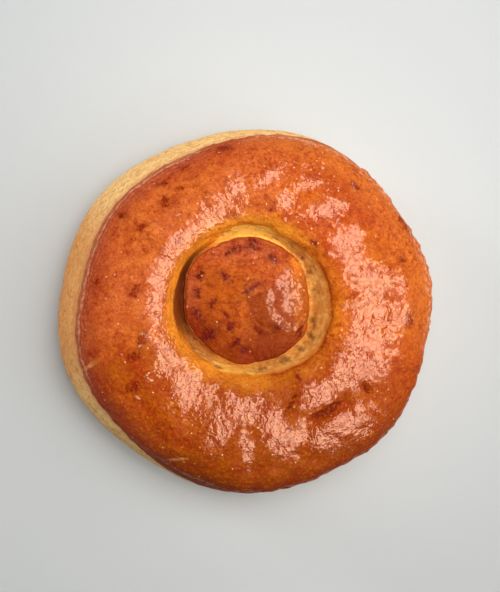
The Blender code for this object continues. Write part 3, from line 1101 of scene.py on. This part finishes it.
        # painted shadow: the narrow groove is painted dark brown, for the glaze that runs into it
        # and the button's shadow
        colour = self.tint(colour, GAP_BROWN_AND_SHADOW, "gap_side", off_button, off_ring, 0.86)
        # painted highlight: the bubbles' glints are painted into the colour
        return self.tint(colour, PAINTED_GLINT, self.glint, 0.75)

    def bump(self):
        """The finest relief: wrinkles, dimples and bubbles in the wash, and crumbs in the dough."""
        dough = self.calc("SUBTRACT", 1, self.glazed)
        ends = {0: self.place, 1: BURST}
        from_burst = self.add("ShaderNodeVectorMath", ends, "Value", operation="DISTANCE")
        off_wall = self.calc("ABSOLUTE", self.calc("SUBTRACT", from_burst, BURST_RADIUS))
        height = self.product(self.grain("wrinkle"), WRINKLE_RISE)
        for rise, pattern in (
            (DIMPLE_RISE, self.ease(self.grain("dimple"), 0.34, 0.46)),
            (FINE_RISE, self.grain("fine")),
            (BUBBLE_RISE, self.bubble),
            (CRINKLE_RISE, self.crinkle),
            (FOLD_RISE, self.fold),
            (CRUMB_RISE, self.product(dough, self.crumb)),
            (CURL_RISE, self.product(self.button, self.ridges("curl"))),
            (BURST_RISE, self.ease(off_wall, BURST_WALL, 0)),
        ):
            height = self.spread(height, rise, pattern)
        return self.add("ShaderNodeBump", {"Strength": 1, "Distance": 1, "Height": height})

    def wash(self):
        """The egg wash's gloss: full in its pools, thin between them and none on steep sides."""
        pool = self.spread("pool", self.where("broken", 1, 1.6), self.ragged)
        pool = self.spread(pool, self.where("broken", 0.6, 2), self.crumbly)
        pool = self.ease(pool, 0.24, 0.42, 0.05, 1)
        worm = self.product(self.wrinkled, self.off_button, self.where("lit_slope", 1, 0.7))
        vein = self.product(self.ease(self.ridges("vein"), 0.050, 0.020), self.off_button)
        vein = self.product(vein, self.ease("pool", 0.88, 0.58))
        coil = self.product(self.button, self.ease(self.ridges("coil"), 0.075, 0.030))
        crease = self.ease("crease", 0.1, 0.4)
        gaps = (worm, 0.65), (vein, 0.80), (coil, 0.85), (self.button, 0.20), (crease, 1)
        for gap, depth in gaps:
            pool = self.product(pool, self.where(gap, 1, 1 - depth))
        pool = self.calc("MAXIMUM", pool, self.bubble)
        return self.product(self.glazed, pool, self.ease("facing_up", 0.35, 0.80))


def crust_material():
    crust = bpy.data.materials.new("crust")
    t = Crust(crust)
    shader = t.tree.nodes["Principled BSDF"].inputs
    t.give(shader["Base Color"], t.colour())
    t.give(shader["Roughness"], t.where(t.glazed, DOUGH_ROUGHNESS, GLAZE_ROUGHNESS))
    t.give(shader["Coat Weight"], t.wash())
    bump = t.bump()
    t.give(shader["Normal"], bump)
    t.give(shader["Coat Normal"], bump)
    shader["Coat Roughness"].default_value = WASH_ROUGHNESS
    shader["Specular IOR Level"].default_value = CRUST_SPECULAR
    return crust


def table_material():
    table = bpy.data.materials.new("table")
    shader = Tree(table).tree.nodes["Principled BSDF"].inputs
    shader["Base Color"].default_value = TABLE_COLOUR
    shader["Roughness"].default_value = TABLE_ROUGHNESS
    shader["Specular IOR Level"].default_value = TABLE_SPECULAR
    return table


# -----------------------------------------------------------------------------
# The roll, the table, the light and the camera
# -----------------------------------------------------------------------------

TABLE_SIZE = 6
ROOM_GLOW = 0.1125  # what the room sends from every side
GLARE_TINT = (1.0, 0.64, 0.44)

SENSOR_WIDTH = 36
FOCAL_LENGTH = 93.85
CAMERA_PLACE = (-0.03587, 0.01156, 0.45436)
CAMERA_TARGET = (0.00092, 0.00441, 0.026)


def linked(name, data):
    made = bpy.data.objects.new(name, data)
    bpy.context.scene.collection.objects.link(made)
    return made


def make_roll():
    mesh = roll_mesh()
    mesh.materials.append(crust_material())
    roll = linked("roll_skin", mesh)
    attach(roll, "root")
    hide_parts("roll")


def make_floor():
    bpy.ops.mesh.primitive_plane_add(size=TABLE_SIZE)
    floor = bpy.context.object
    floor.name = "floor"
    floor.data.materials.append(table_material())


def aim(thing, target):
    """Turns a light or the camera to a place, with +Y as near to the top of its view as it goes."""
    ahead = (Vector(target) - thing.location).normalized()
    right = ahead.cross(Vector((0, 1, 0))).normalized()
    thing.rotation_euler = Matrix((right, right.cross(ahead), -ahead)).transposed().to_euler()


def softbox(name, place, size, power, lights, toward=(0, 0, 0), spread=180, tint=(1, 1, 1)):
    """A rectangular light that faces a place. What it lights is dull or shine."""
    box = bpy.data.lights.new(name, "AREA")
    box.shape = "RECTANGLE"
    box.size, box.size_y = size
    box.energy = power
    box.color = tint
    box.spread = math.radians(spread)
    made = linked(name, box)
    made.location = place
    made.visible_glossy = lights == "shine"
    made.visible_diffuse = lights == "dull"
    aim(made, toward)


def make_light():
    """Soft daylight from overhead and the back, and a big window on the right that shines."""
    softbox("ceiling", (0.05, 0.10, 0.50), (0.3, 0.3), 0.275, "dull", (0.02, 0.04, 0), spread=50)
    softbox("window", (0.60, -0.05, 0.70), (0.9, 0.9), 4.25, "dull")
    softbox("glare", (0.54, 0.0, 0.78), (1.05, 2.2), 92.0, "shine", tint=GLARE_TINT)
    softbox("back", (0.4, 0.75, 0.45), (1.0, 0.5), 1.5, "dull")
    softbox("left", (-0.85, 0.50, 0.12), (1.0, 0.20), 6.0, "dull")
    room = bpy.context.scene.world or bpy.data.worlds.new("room")
    bpy.context.scene.world = room
    glow = Tree(room).tree.nodes["Background"].inputs
    glow["Color"].default_value = (1, 1, 1, 1)
    glow["Strength"].default_value = ROOM_GLOW


def make_camera():
    lens = bpy.data.cameras.new("camera")
    lens.sensor_width = SENSOR_WIDTH
    lens.lens = FOCAL_LENGTH
    camera = linked("camera", lens)
    camera.location = CAMERA_PLACE
    aim(camera, CAMERA_TARGET)
    bpy.context.scene.camera = camera


def main():
    make_camera()
    make_roll()
    make_floor()
    make_light()
    bpy.context.scene.view_settings.view_transform = "Standard"


main()
